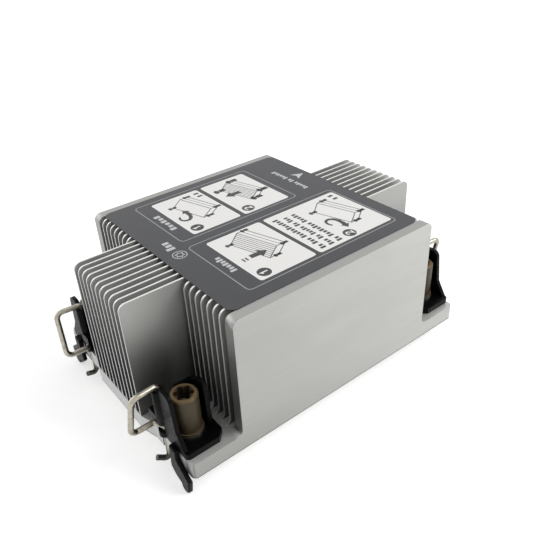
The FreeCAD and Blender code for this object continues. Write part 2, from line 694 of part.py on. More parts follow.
def make_ring(name, x, y, bottom, height, outer, inner, opening="0"):
    """Flat ring round a nut's axis, closed like a washer or open like a snap ring."""
    disc = doc.addObject("Part::Cylinder", name + "_disc")
    disc.setExpression("Radius", outer)
    disc.setExpression("Height", height)
    disc.setExpression("Angle", "360 - %s" % opening)
    hole = doc.addObject("Part::Cylinder", name + "_hole")
    hole.setExpression("Radius", inner)
    hole.setExpression("Height", "3 * %s" % height)
    hole.setExpression("Placement.Base.z", "-%s" % height)
    ring = doc.addObject("Part::Cut", name)
    ring.Base = disc
    ring.Tool = hole
    ring.setExpression("Placement.Base.x", x)
    ring.setExpression("Placement.Base.y", y)
    ring.setExpression("Placement.Base.z", bottom)
    return ring


def bent_wire(points, radii, diameter):
    """Round wire along straight runs joined by tangent arcs."""
    edges = []
    start = points[0]
    for before, corner, after, radius in zip(points, points[1:], points[2:], radii):
        way_in = (corner - before).normalize()
        way_out = (after - corner).normalize()
        half_turn = way_in.getAngle(way_out) / 2
        cut = radius * math.tan(half_turn)
        arc_start = corner - way_in * cut
        arc_end = corner + way_out * cut
        bisector = (way_out - way_in).normalize()
        middle = corner + bisector * (radius / math.cos(half_turn))
        arc_middle = middle - bisector * radius
        edges.append(Part.LineSegment(start, arc_start).toShape())
        edges.append(Part.Arc(arc_start, arc_middle, arc_end).toShape())
        start = arc_end
    edges.append(Part.LineSegment(start, points[-1]).toShape())
    path = Part.Wire(edges)
    section = Part.Wire(Part.Circle(points[0], points[1] - points[0], diameter / 2).toShape())
    return path.makePipeShell([section], True, True)


def make_bail():
    """Bail at the corner with +X and -Y: pivot pin, handle, lower arm, shaft and hooked foot."""
    pivot_x = value(PIVOT_X)
    pivot_y = -value(PIVOT_Y)
    top = value("sizes.base_height + sizes.bail_top")
    low = value("sizes.base_height + sizes.bail_bottom")
    jog_y = pivot_y - size("bail_jog")
    foot_top = size("foot_rise") - size("foot_drop")
    points = [
        Vector(pivot_x, pivot_y, top - size("pin_length")),
        Vector(pivot_x, pivot_y, top),
        Vector(pivot_x + size("bail_lean_out"), pivot_y - size("bail_reach"), top),
        Vector(pivot_x - size("bail_lean_in"), pivot_y - size("bail_lower_reach"), low),
        Vector(pivot_x - size("bail_lean_in"), jog_y, low),
        Vector(pivot_x, pivot_y, low),
        Vector(pivot_x, pivot_y, -size("foot_drop")),
        Vector(pivot_x - size("foot_lean"), pivot_y - size("foot_reach"), foot_top),
    ]
    tight = size("shaft_bend_radius")
    wide = size("bail_bend_radius")
    bends = [tight, wide, wide, tight, tight, tight]
    bail = doc.addObject("Part::Feature", "wire_bail_front_right")
    bail.Shape = bent_wire(points, bends, size("wire_diameter"))
    return bail


def make_bails():
    """The front right bail and its mirror images at the other corners."""
    front_right = make_bail()
    front_left = mirror_piece(front_right, "wire_bail_front_left", ACROSS)
    back_right = mirror_piece(front_right, "wire_bail_back_right", ALONG)
    back_left = mirror_piece(back_right, "wire_bail_back_left", ACROSS)
    return [front_right, front_left, back_right, back_left]


CORNERS = {
    "front_right": (NUT_X, negative(NUT_Y)),
    "front_left": (negative(NUT_X), negative(NUT_Y)),
    "back_right": (NUT_X, NUT_Y),
    "back_left": (negative(NUT_X), NUT_Y),
}

nodes = [make_heatsink_body(), make_label()]
nodes += make_holders()
for corner, (corner_x, corner_y) in CORNERS.items():
    nodes.append(make_nut("captive_nut_" + corner, corner_x, corner_y))
    nodes.append(make_ring("nut_washer_" + corner, corner_x, corner_y,
                           "sizes.base_height + sizes.holder_floor", "sizes.washer_thickness",
                           "sizes.washer_diameter / 2", "sizes.neck_hole_diameter / 2"))
    nodes.append(make_ring("retaining_ring_" + corner, corner_x, corner_y,
                           "sizes.ring_height", "sizes.ring_thickness", "sizes.ring_diameter / 2",
                           "sizes.neck_diameter / 2 - sizes.groove_depth + sizes.fit_clearance",
                           "sizes.ring_opening"))
nodes += make_bails()
doc.recompute()

for item in doc.Objects:
    if "Invalid" in item.State or "Error" in item.State:
        raise RuntimeError("%s failed: %s" % (item.Name, item.State))
os.makedirs("parts", exist_ok=True)
for node in nodes:
    node.Label = node.Name
    if node.Shape.isNull() or not node.Shape.isValid():
        raise RuntimeError("%s has no valid shape" % node.Name)
for node in nodes:
    node.Shape.exportStep("parts/%s.step" % node.Label)
    box = node.Shape.BoundBox
    print("%-28s solids %d volume %9.2f z %.2f to %.2f" % (
        node.Label, len(node.Shape.Solids), node.Shape.Volume, box.ZMin, box.ZMax))
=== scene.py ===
import math

import bmesh
import bpy
from mathutils import Matrix, Vector


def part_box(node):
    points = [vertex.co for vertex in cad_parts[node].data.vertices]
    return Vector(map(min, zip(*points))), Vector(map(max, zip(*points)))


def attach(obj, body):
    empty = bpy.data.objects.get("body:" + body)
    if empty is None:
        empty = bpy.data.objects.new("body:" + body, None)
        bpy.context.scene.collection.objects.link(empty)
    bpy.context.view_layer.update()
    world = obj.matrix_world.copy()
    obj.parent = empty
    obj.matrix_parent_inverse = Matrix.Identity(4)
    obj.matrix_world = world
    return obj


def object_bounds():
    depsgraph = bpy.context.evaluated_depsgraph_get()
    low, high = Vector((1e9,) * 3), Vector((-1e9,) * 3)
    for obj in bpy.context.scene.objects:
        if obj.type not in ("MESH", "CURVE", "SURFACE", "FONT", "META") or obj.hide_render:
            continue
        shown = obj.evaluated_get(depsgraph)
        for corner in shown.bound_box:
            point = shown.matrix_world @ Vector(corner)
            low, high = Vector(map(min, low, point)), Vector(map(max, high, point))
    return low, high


# Looks of a passive heatsink for a server processor: satin extruded aluminium, a printed film
# label, black moulded nut holders, tan captive nuts and bright wire bails.
# The frame is in metres, +Z up, with its origin at the middle of the contact face.

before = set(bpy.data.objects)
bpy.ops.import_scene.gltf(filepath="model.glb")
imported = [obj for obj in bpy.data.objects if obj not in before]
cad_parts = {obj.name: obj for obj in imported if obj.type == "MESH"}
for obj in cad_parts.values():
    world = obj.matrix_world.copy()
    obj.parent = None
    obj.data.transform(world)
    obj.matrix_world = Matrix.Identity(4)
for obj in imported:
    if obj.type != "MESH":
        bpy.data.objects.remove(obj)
cad_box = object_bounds()

MM = 0.001
CORNERS = ("front_right", "front_left", "back_right", "back_left")

# Places taken from the frame, in metres.
SIDE_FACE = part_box("heatsink_body")[1].x
FIN_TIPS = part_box("heatsink_body")[1].z
FILM_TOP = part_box("label")[1].z
NUT_LOW, NUT_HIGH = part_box("captive_nut_back_right")
NUT_AXIS = (NUT_LOW + NUT_HIGH) / 2

# Viewpoint of the photograph, as a pinhole camera in millimetres and pixels.
IMAGE_SIZE = 560
SENSOR_WIDTH = 36.0
FOCAL_PIXELS = 607.98
AXIS_PIXEL = (260.21, 268.95)
CAMERA_PLACE = (137.83, -99.54, 132.79)
CAMERA_RIGHT = (0.61378, 0.78763, -0.05400)
CAMERA_FORWARD = (-0.68430, 0.49665, -0.53392)
NEAR_CLIP = 10.0


def linear(red, green, blue):
    """Shader colour from the 0 to 255 values of a screen colour."""
    def one(channel):
        share = channel / 255
        if share <= 0.04045:
            return share / 12.92
        return ((share + 0.055) / 1.055) ** 2.4
    return (one(red), one(green), one(blue), 1.0)


# Colours of the aluminium block.
SKIN_DARK = linear(186, 186, 182)
SKIN_LIGHT = linear(193, 193, 190)
LINE_GREY = linear(177, 177, 173)
# Painted shade on the outer side faces, darker towards -Y and towards the base.
SIDE_PAINTED_SHADE = linear(154, 155, 150)
# Painted shade deep in the channels, at the foot of the flanks.
FLANK_FOOT_PAINTED_SHADE = linear(96, 96, 94)
FLANK_TOP = linear(181, 181, 178)
# Upward faces: painted light on the low ledges, painted shade on the plate tops.
LEDGE_PAINTED_LIGHT = linear(206, 206, 203)
PLATE_TOP_PAINTED_SHADE = linear(166, 166, 163)
# Painted shade on the end faces of the side plates.
PLATE_END_PAINTED_SHADE = linear(150, 151, 149)
FIN_END = linear(205, 206, 206)
# Painted highlight on the fin tips.
TIP_PAINTED_HIGHLIGHT = linear(236, 236, 234)
# Painted shadow line along the lower edge of the block.
EDGE_PAINTED_SHADOW = linear(72, 72, 70)

# Colours of the plastic pieces.
MOULDING_DARK = linear(4, 4, 5)
MOULDING_LIGHT = linear(8, 9, 11)
TAN_DARK = linear(66, 57, 38)
TAN_LIGHT = linear(78, 68, 46)
TAN_SPECK = linear(68, 55, 37)
# Painted shade towards the nut's foot.
TAN_FOOT_PAINTED_SHADE = linear(54, 44, 31)
# Painted light on the nut's top faces.
TAN_TOP_PAINTED_LIGHT = linear(122, 102, 70)
# Painted shade inside the nut's socket.
SOCKET_PAINTED_SHADE = linear(62, 50, 35)

# Bright and dull colours of the steel pieces.
WIRE_STEEL = (linear(176, 171, 158), linear(150, 144, 131))
WIRE_FOOT = linear(74, 72, 68)
WASHER_STEEL = (linear(176, 176, 172), linear(150, 150, 146))
RING_STEEL = (linear(120, 118, 114), linear(90, 88, 84))

# Dark and light colours of the label's film and inks.
FILM_GREY = (linear(53, 54, 57), linear(60, 61, 64))
WHITE_INK = (linear(238, 237, 234), linear(242, 241, 239))
LIGHT_INK = (linear(196, 197, 199), linear(206, 207, 209))
GREY_INK = (linear(158, 159, 161), linear(168, 169, 171))
BLACK_INK = (linear(44, 44, 46), linear(54, 54, 56))


class Nodes:
    """Adds nodes to the tree of a material or of the world, and links them."""

    def __init__(self, tree):
        self.tree = tree

    def node(self, kind, **settings):
        made = self.tree.nodes.new(kind)
        for setting, choice in settings.items():
            setattr(made, setting, choice)
        return made

    def feed(self, socket, source):
        """Sets an input from a number, a colour or another node's output."""
        if isinstance(source, bpy.types.NodeSocket):
            self.tree.links.new(source, socket)
        else:
            socket.default_value = source

    def math(self, operation, *terms):
        made = self.node("ShaderNodeMath", operation=operation)
        for socket, term in zip(made.inputs, terms):
            self.feed(socket, term)
        return made.outputs[0]

    def axes(self, vector):
        """Outputs for the x, y and z of a vector."""
        made = self.node("ShaderNodeSeparateXYZ")
        self.feed(made.inputs[0], vector)
        return made.outputs

    def spread(self, source, low, high, new_low=0.0, new_high=1.0):
        """Takes the range low to high smoothly to new_low to new_high, and stops at its ends."""
        made = self.node("ShaderNodeMapRange", interpolation_type="SMOOTHSTEP")
        for socket, term in zip(made.inputs, (source, low, high, new_low, new_high)):
            self.feed(socket, term)
        return made.outputs[0]

    def mix(self, share, first, second):
        """Colour that goes from first to second as share goes from 0 to 1."""
        made = self.node("ShaderNodeMix", data_type="RGBA")
        self.feed(made.inputs[0], share)
        self.feed(made.inputs[6], first)
        self.feed(made.inputs[7], second)
        return made.outputs[2]

    def background_rays(self):
        """1 for camera rays and for what metal or clear pieces mirror of the room, otherwise 0."""
        light_path = self.node("ShaderNodeLightPath")
        shown = light_path.outputs["Is Camera Ray"]
        for ray in ("Is Glossy Ray", "Is Transmission Ray"):
            shown = self.math("MAXIMUM", shown, light_path.outputs[ray])
        return shown


class Recipe(Nodes):
    """Node tree of one material. Textures read the piece's own coordinates, in metres."""

    def __init__(self, name, **values):
        self.material = bpy.data.materials.new(name)
        self.material.use_nodes = True
        super().__init__(self.material.node_tree)
        self.shader = self.tree.nodes["Principled BSDF"]
        coordinates = self.node("ShaderNodeTexCoord")
        self.place = coordinates.outputs["Object"]
        self.normal = coordinates.outputs["Normal"]
        self.relief = None
        self.look(**values)

    def look(self, **sources):
        """Sets inputs of the shader, named with _ for each space."""
        for name, source in sources.items():
            self.feed(self.shader.inputs[name.replace("_", " ")], source)

    def noise(self, size, detail=2.0, rough=0.5, stretch=(1, 1, 1)):
        """Noise whose blobs measure about size millimetres, longer where stretch is below 1."""
        stretched = self.node("ShaderNodeMapping")
        self.feed(stretched.inputs["Vector"], self.place)
        self.feed(stretched.inputs["Scale"], stretch)
        made = self.node("ShaderNodeTexNoise")
        self.feed(made.inputs["Vector"], stretched.outputs[0])
        self.feed(made.inputs["Scale"], 1 / (size * MM))
        self.feed(made.inputs["Detail"], detail)
        self.feed(made.inputs["Roughness"], rough)
        return made.outputs["Fac"]

    def bump(self, height, depth):
        """Adds relief of about depth millimetres on top of the relief so far."""
        made = self.node("ShaderNodeBump")
        self.feed(made.inputs["Distance"], depth * MM)
        self.feed(made.inputs["Strength"], 1.0)
        self.feed(made.inputs["Height"], height)
        if self.relief is not None:
            self.feed(made.inputs["Normal"], self.relief)
        self.relief = made.outputs[0]
        self.look(Normal=self.relief)


# Share of a face's normal along an axis at which the face starts to count as facing that way, and
# at which it counts in full.
FACING = (0.6, 0.8)
PLATE_THICKNESS = 3.5 * MM
# Stretches over which painted shade makes the outer faces darker, along the fins and towards the
# base, and how far they have darkened at the two ends of the second.
SIDE_SHADE_ALONG = (50 * MM, -58 * MM)
SIDE_SHADE_DOWN = (18 * MM, 0.0)
SIDE_SHADE_SHARES = (0.5, 1.0)
# Heights between which flanks and upward faces take their other colour: flanks go from painted shade
# at their foot to their own grey, upward faces from painted light on the ledges to painted shade on
# the plate tops.
CHANNEL_HEIGHTS = (10 * MM, FIN_TIPS - 0.4 * MM)
# Heights between which the painted shadow line along the lower edge sets in.
EDGE_SHADOW_HEIGHTS = (0.85 * MM, 0.5 * MM)
# How metallic the outer faces and the flanks are, and what fin edges and ledges lose of it.
METALLIC_OUTSIDE = 0.85
METALLIC_FLANK = 0.55
METALLIC_LOSS_FIN_EDGE = 0.45
METALLIC_LOSS_LEDGE = 0.4
# Roughness between and on the fine lines, what flanks add to it, and how deep lines are there.
ALUMINIUM_ROUGHNESS = (0.36, 0.42)
FLANK_EXTRA_ROUGHNESS = 0.08
FLANK_LINE_SHARE = 0.35


def aluminium():
    """Extruded block: fine lines along the fins, duller flanks between the side plates and milled end
    faces. Painted shade darkens the outer faces towards -Y and the base, the foot of the flanks, the
    plate tops and plate ends, and a line along the lower edge; painted light brightens the ledges, and
    a painted highlight the fin tips."""
    made = Recipe("satin_aluminium")
    normal = made.axes(made.normal)
    place = made.axes(made.place)
    across = made.math("ABSOLUTE", place[0])
    facing_side = made.spread(made.math("ABSOLUTE", normal[0]), *FACING)
    facing_end = made.spread(made.math("ABSOLUTE", normal[1]), *FACING)
    facing_up = made.spread(normal[2], *FACING)
    not_contact_face = made.spread(normal[2], -0.95, -0.85)
    inside = made.spread(across, SIDE_FACE - 0.4 * MM, SIDE_FACE - 0.2 * MM, 1.0, 0.0)
    plate_inside = SIDE_FACE - PLATE_THICKNESS
    between_plates = made.spread(across, plate_inside - 0.3 * MM, plate_inside, 1.0, 0.0)
    flank = made.math("MULTIPLY", facing_side, inside)
    height = made.spread(place[2], *CHANNEL_HEIGHTS)
    ledge = made.math("MULTIPLY", facing_up, made.math("SUBTRACT", 1.0, height))
    # Fin tips between the side plates, which take a painted highlight and lose some metallic.
    tip = made.math("MULTIPLY", made.spread(place[2], FIN_TIPS - 0.8 * MM, FIN_TIPS - 0.4 * MM), facing_up)
    tip = made.math("MULTIPLY", tip, between_plates)
    fin_edge = made.math("MAXIMUM", tip, made.math("MULTIPLY", facing_end, between_plates))
    edge_shadow_line = made.math("MULTIPLY", made.spread(place[2], *EDGE_SHADOW_HEIGHTS), not_contact_face)
    # Painted shade on the side faces, growing along the fins and towards the base.
    side_painted_shade = made.math("MULTIPLY", made.spread(place[1], *SIDE_SHADE_ALONG),
                     made.spread(place[2], *SIDE_SHADE_DOWN, *SIDE_SHADE_SHARES))
    side_painted_shade = made.math("MULTIPLY", side_painted_shade, facing_side)

    lines = made.noise(0.5, detail=3.0, stretch=(1, 0.008, 1))
    cloud = made.noise(14.0, detail=3.0, stretch=(1, 0.35, 1))
    cutter = made.noise(0.16, detail=2.0, stretch=(0.05, 1, 1))
    skin = made.mix(made.spread(cloud, 0.35, 0.7), SKIN_DARK, SKIN_LIGHT)
    skin = made.mix(made.spread(lines, 0.3, 0.7, 0.0, 0.25), skin, LINE_GREY)
    skin = made.mix(side_painted_shade, skin, SIDE_PAINTED_SHADE)
    # Flanks: painted shade towards their foot.
    skin = made.mix(flank, skin, made.mix(height, FLANK_FOOT_PAINTED_SHADE, FLANK_TOP))
    # Upward faces: painted light on the ledges, painted shade on the plate tops.
    skin = made.mix(facing_up, skin, made.mix(height, LEDGE_PAINTED_LIGHT, PLATE_TOP_PAINTED_SHADE))
    # End faces: painted shade on the side plates' ends, the milled grey on the fin ends.
    skin = made.mix(facing_end, skin, made.mix(between_plates, PLATE_END_PAINTED_SHADE, FIN_END))
    # Painted shadow line along the lower edge.
    skin = made.mix(edge_shadow_line, skin, EDGE_PAINTED_SHADOW)
    # Painted highlight on the fin tips.
    skin = made.mix(tip, skin, TIP_PAINTED_HIGHLIGHT)

    metal = made.spread(flank, 0.0, 1.0, METALLIC_OUTSIDE, METALLIC_FLANK)
    metal = made.math("SUBTRACT", metal, made.math("MULTIPLY", fin_edge, METALLIC_LOSS_FIN_EDGE))
    metal = made.math("SUBTRACT", metal, made.math("MULTIPLY", ledge, METALLIC_LOSS_LEDGE))
    rough = made.spread(lines, 0.25, 0.75, *ALUMINIUM_ROUGHNESS)
    rough = made.math("ADD", rough, made.math("MULTIPLY", flank, FLANK_EXTRA_ROUGHNESS))
    made.look(Base_Color=skin, Metallic=metal, Roughness=rough)
    made.bump(made.math("MULTIPLY", lines, made.spread(flank, 0.0, 1.0, 1.0, FLANK_LINE_SHARE)), 0.0011)
    made.bump(made.math("MULTIPLY", cutter, facing_end), 0.003)
    made.bump(made.noise(0.12, detail=1.0), 0.0008)
    return made.material


def holder_plastic():
    """Black glass filled moulding with a fine spark textured skin."""
    made = Recipe("black_moulding", Specular_IOR_Level=0.08)
    cloud = made.noise(3.0, detail=3.0)
    rough = made.spread(made.noise(0.8, detail=3.0), 0.3, 0.7, 0.32, 0.46)
    made.look(Base_Color=made.mix(cloud, MOULDING_DARK, MOULDING_LIGHT), Roughness=rough)
    made.bump(made.noise(0.14, detail=2.0), 0.004)
    made.bump(cloud, 0.02)
    return made.material


# Distances from the nut's axis at which the painted shade of the socket ends and the top ring's colour
# starts.
SOCKET_EDGE = (2.5 * MM, 3.0 * MM)
# Heights between which painted shade makes the nut darker towards its foot, and how far it does so.
NUT_SHADE = (22 * MM, 9 * MM)
NUT_SHADE_SHARES = (0.0, 0.7)


def nut_plastic():
    """Tan nut: turned skin with rings round its axis and a fine speckle, with painted light on its top
    and painted shade towards its foot and in its socket."""
    made = Recipe("tan_nut", Specular_IOR_Level=0.3)
    speckle = made.noise(0.2, detail=3.0, rough=0.7)
    place = made.axes(made.place)
    squares = []
    for axis in (0, 1):
        away = made.math("SUBTRACT", made.math("ABSOLUTE", place[axis]), NUT_AXIS[axis])
        squares.append(made.math("POWER", away, 2.0))
    outside_socket = made.spread(made.math("SQRT", made.math("ADD", *squares)), *SOCKET_EDGE)
    facing_up = made.spread(made.axes(made.normal)[2], *FACING)
    tan = made.mix(made.noise(2.2, detail=2.0), TAN_DARK, TAN_LIGHT)
    tan = made.mix(made.spread(speckle, 0.55, 0.75, 0.0, 0.4), tan, TAN_SPECK)
    # Painted shade towards the foot.
    tan = made.mix(made.spread(place[2], *NUT_SHADE, *NUT_SHADE_SHARES), tan, TAN_FOOT_PAINTED_SHADE)
    # Painted light on the top faces.
    tan = made.mix(facing_up, tan, TAN_TOP_PAINTED_LIGHT)
    # Painted shade in the socket.
    tan = made.mix(outside_socket, SOCKET_PAINTED_SHADE, tan)
    made.look(Base_Color=tan, Roughness=made.spread(speckle, 0.3, 0.7, 0.36, 0.52))
    made.bump(made.noise(0.22, detail=1.0, stretch=(0.08, 0.08, 1)), 0.004)
    made.bump(speckle, 0.003)
    return made.material


# Heights between which the bail turns darker, below the base.
WIRE_FOOT_HEIGHTS = (0.0, -2.5 * MM)


def plated_steel(name, colours, rough, foot=None):
    """Plated steel with faint spots and a fine grain. foot is its colour below the base."""
    made = Recipe(name, Metallic=1.0)
    spots = made.noise(1.6, detail=3.0, rough=0.5)
    skin = made.mix(made.spread(spots, 0.4, 0.75), *colours)
    if foot:
        skin = made.mix(made.spread(made.axes(made.place)[2], *WIRE_FOOT_HEIGHTS), skin, foot)
    made.look(Base_Color=skin, Roughness=made.spread(spots, 0.3, 0.7, rough - 0.04, rough + 0.05))
    made.bump(made.noise(0.1, detail=2.0), 0.0008)
    return made.material


def film(name, colours, rough):
    """Printed polyester film with a faint grain and slow waves."""
    made = Recipe(name)
    cloud = made.noise(7.0, detail=2.0)
    grain = made.noise(0.25, detail=2.0)
    made.look(Base_Color=made.mix(cloud, *colours),
              Roughness=made.spread(grain, 0.3, 0.7, rough - 0.05, rough + 0.06))
    made.bump(grain, 0.0015)
    made.bump(made.noise(5.0, detail=1.0), 0.02)
    return made.material


# Rounded edges of the CAD nodes: their radius in millimetres, the angle in degrees that counts as
# sharp, and the distance in metres within which points are joined first.
BLOCK_EDGE = 0.16
HOLDER_EDGE = 0.12
SHARP_ANGLE = 40
JOINED_WITHIN = 1e-6


def soften(piece, radius):
    """Rounds the sharp edges of a CAD node with modifiers, so that they catch the light."""
    weld = piece.modifiers.new("weld", "WELD")
    weld.merge_threshold = JOINED_WITHIN
    bevel = piece.modifiers.new("edge_rounding", "BEVEL")
    bevel.width = radius * MM
    bevel.segments = 2
    bevel.limit_method = "ANGLE"
    bevel.angle_limit = math.radians(SHARP_ANGLE)
    bevel.use_clamp_overlap = True


def dress(node, material):
    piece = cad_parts[node]
    piece.data.materials.clear()
    piece.data.materials.append(material)
    return piece


def dress_cad_nodes():
    soften(dress("heatsink_body", aluminium()), BLOCK_EDGE)
    dress("label", film("dark_film", FILM_GREY, 0.4))
    holder = holder_plastic()
    nut = nut_plastic()
    bail = plated_steel("bail_wire", WIRE_STEEL, 0.3, foot=WIRE_FOOT)
    washer = plated_steel("washer_plating", WASHER_STEEL, 0.32)
    ring = plated_steel("ring_steel_dark", RING_STEEL, 0.38)
    for corner in CORNERS:
        soften(dress("nut_holder_" + corner, holder), HOLDER_EDGE)
        dress("captive_nut_" + corner, nut)
        dress("nut_washer_" + corner, washer)
        dress("retaining_ring_" + corner, ring)
        dress("wire_bail_" + corner, bail)


# A line's mitred corner reaches out by half the line's width divided by this at most.
MITRE_LIMIT = 0.4


class Print:
    """Flat shapes on the label, as thin closed prisms. x and y are millimetres in the frame."""

    def __init__(self, name, material, level):
        self.name = name
        self.material = material
        self.mesh = bmesh.new()
        self.low = FILM_TOP
        self.high = self.low + level * MM

    def shape(self, outline):
        """Prism over an outline given as (x, y) points."""
        ring = [Vector((x * MM, y * MM, self.low)) for x, y in outline]
        area = sum(a.x * b.y - b.x * a.y for a, b in zip(ring, ring[1:] + ring[:1]))
        if area < 0:
            ring.reverse()
        lower = [self.mesh.verts.new(point) for point in ring]
        upper = [self.mesh.verts.new((point.x, point.y, self.high)) for point in ring]
        self.mesh.faces.new(lower[::-1])
        self.mesh.faces.new(upper)
        for index in range(len(ring)):
            after = (index + 1) % len(ring)
            self.mesh.faces.new((lower[index], lower[after], upper[after], upper[index]))

    def strip(self, points, width, closed=False):
        """Line of even width along points, with mitred corners."""
        count = len(points)
        left, right = [], []
        for index, (x, y) in enumerate(points):
            before = points[index - 1] if index or closed else points[index]
            after = points[(index + 1) % count] if index < count - 1 or closed else points[index]
            way_in = Vector((x - before[0], y - before[1]))
            way_out = Vector((after[0] - x, after[1] - y))
            way_in = way_in.normalized() if way_in.length else way_out.normalized()
            way_out = way_out.normalized() if way_out.length else way_in
            mean = (way_in + way_out).normalized()
            half = width / 2 / max(mean.dot(way_in), MITRE_LIMIT)
            left.append((x - mean.y * half, y + mean.x * half))
            right.append((x + mean.y * half, y - mean.x * half))
        for index in range(count if closed else count - 1):
            after = (index + 1) % count
            self.shape([left[index], left[after], right[after], right[index]])

    def finish(self):
        mesh = bpy.data.meshes.new(self.name)
        self.mesh.to_mesh(mesh)
        self.mesh.free()
        mesh.materials.append(self.material)
        piece = bpy.data.objects.new(self.name, mesh)
        bpy.context.scene.collection.objects.link(piece)
        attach(piece, "heatsink")


CIRCLE_STEPS = 32


def rounded(x0, y0, x1, y1, radius, steps=5):
    """Points of a rectangle with rounded corners."""
    points = []
    for centre_x, centre_y, start in ((x1 - radius, y1 - radius, 0), (x0 + radius, y1 - radius, 90),
                                      (x0 + radius, y0 + radius, 180), (x1 - radius, y0 + radius, 270)):
        for step in range(steps + 1):
            angle = math.radians(start + 90 * step / steps)
            points.append((centre_x + radius * math.cos(angle), centre_y + radius * math.sin(angle)))
    return points


def oval(x, y, half_width, half_height, steps):
    angles = [2 * math.pi * step / steps for step in range(steps)]
    return [(x + half_width * math.cos(angle), y + half_height * math.sin(angle)) for angle in angles]


def circle(x, y, radius):
    return oval(x, y, radius, radius, CIRCLE_STEPS)


# What is printed on the label. All its places and sizes are millimetres in the frame.
# Height of each layer of print above the film, so that one layer lies on another.
PANEL_LAYER = 0.012
DRAWING_LAYER = 0.018
DISC_LAYER = 0.024
NUMERAL_LAYER = 0.03

# Panels and the lines round them: lowest x, lowest y, highest x, highest y.
PANELS = ((3.0, -20.9, 29.7, -1.1), (3.0, 0.3, 29.8, 29.6),
          (-30.8, -20.3, -4.1, -2.5), (-30.8, -0.9, -3.9, 17.1))
PANEL_CORNER = 0.9
FRAMES = ((1.2, -26.0, 31.1, 30.3), (-32.6, -25.5, -2.7, 19.4))
FRAME_CORNER = 1.4
FRAME_LINE = 0.28

# Numbered discs: x, y, number.
DISCS = ((26.7, -17.6, 1), (27.0, 14.3, 2), (-7.3, -17.1, 1), (-7.0, 2.4, 2))
DISC_RADIUS = 2.1
NUMERAL_LINE = 0.5
# The label is read from its -Y side up, so shapes drawn upright are turned half round.
NUMERALS = {
    1: ((-0.55, 0.55), (0.1, 1.1), (0.1, -1.15)),
    2: ((-0.75, 0.55), (-0.45, 1.05), (0.15, 1.15), (0.65, 0.8), (0.65, 0.25), (-0.75, -1.1),
        (0.85, -1.1)),
}

# Rows of small plain blocks: x where the row starts, y of its foot, height, pitch, and the number
# of blocks in each group.
DARK_ROWS = (
    (28.3, 3.9, 1.4, 1.34, (2, 3, 11)),
    (28.3, 7.1, 1.4, 1.27, (3, 2, 5, 2, 3)),
    (28.3, 10.3, 1.4, 1.37, (2, 8, 5)),
    (8.0, 28.1, 1.3, 1.5, (1, 1)),
    (-25.2, -3.3, 1.3, 1.5, (1, 1)),
)
LIGHT_ROWS = (
    (20.9, -22.2, 1.5, 1.36, (7,)),
    (-11.1, -21.9, 1.5, 2.05, (6,)),
    (-5.3, 26.9, 1.3, 1.32, (5, 2, 6)),
    (-0.8, -28.7, 2.0, 1.9, (3,)),
)
# Width of a block and space between groups, as shares of the pitch.
BLOCK_SHARE = 0.7
GROUP_SPACE = 0.6
# Height of each block in a row, as a share of the row's height, over and over.
BLOCK_HEIGHTS = (1.4, 1.0, 1.0, 1.25, 1.0)
BLOCK_CORNER = 0.16

# Round sign of a screw drive: x, y, outer radius. Its star is sized by shares of that radius.
DRIVE_SIGN = (3.1, -29.8, 2.1)
SIGN_LINE = 0.26
STAR_REACH = 0.52
LOBE_REACH = 0.14
LOBES = 6
STEPS_PER_LOBE = 4
POINTER = ((-13.0, 29.0), (-15.3, 33.2), (-17.5, 29.0), (-15.3, 30.1))

# Block arrows: x and y of the tip, the way they point, and their length.
ARROWS = ((18.2, -9.9, (0.05, 1.0), 5.8), (-19.0, 1.9, (-0.04, -1.0), 5.8))
# Half the width of an arrow's shaft and of its head. A head's length is a share of the latter.
ARROW_SHAFT = 0.95
ARROW_HEAD = 2.1
ARROW_HEAD_LENGTH = 1.3
# Dashes behind the first arrow: x and y of the middle.
DASHES = ((18.2, -18.2), (18.2, -17.1))
DASH_HALF_WIDTH = 0.9
DASH_HALF_HEIGHT = 0.25
DASH_CORNER = 0.1
# Curved arrows: the places that the bent shaft runs through, the last of them under the head.
CURVED_ARROWS = (
    ((20.3, 13.8), (19.0, 13.3), (17.4, 13.6), (16.6, 14.8),
     (17.0, 16.2), (18.6, 17.2), (20.6, 17.3), (22.2, 17.0)),
    ((-16.9, -17.6), (-15.4, -18.3), (-14.0, -17.9), (-13.2, -16.6),
     (-13.9, -15.2), (-15.6, -14.3), (-17.2, -14.1), (-18.3, -14.2)),
)
CURVED_SHAFTS = (0.7, 0.8, 0.95, 1.1, 1.25, 1.4, 1.5)
CURVED_HEAD_WIDTH = 0.72

# Line drawings of the heatsink: x and y of the middle, scale, whether its fins are drawn, and the
# size of its corner nuts.
DRAWINGS = ((13.4, -9.6, 1.04, True, 1.0), (14.6, 21.4, 0.98, False, 1.15),
            (-19.6, -9.8, 0.96, False, 1.15), (-19.6, 9.2, 0.96, True, 1.75))
DRAWING_LINE = 0.28
GROOVE_LINE = 0.7 * DRAWING_LINE
FIN_LINE = 0.8 * DRAWING_LINE
# Corners of the drawn block's top, upright round its middle, and the drop of its sides.
DRAWN_TOP = ((-8.4, 2.2), (4.6, 6.0), (8.8, 0.8), (-4.6, -3.2))
DRAWN_DROP = 3.0
DRAWN_FINS = 7
# A drawn nut: its foot and its head, round a corner of the block.
DRAWN_FOOT = ((-0.55, -0.9), (0.55, -0.9), (0.55, 0.5), (-0.55, 0.5))
DRAWN_HEAD = oval(0.0, 1.1, 0.8, 0.56, 12)


def upright(x, y, points):
    """Points drawn upright round (0, 0), as places on the label."""
    return [(x - right, y - up) for right, up in points]


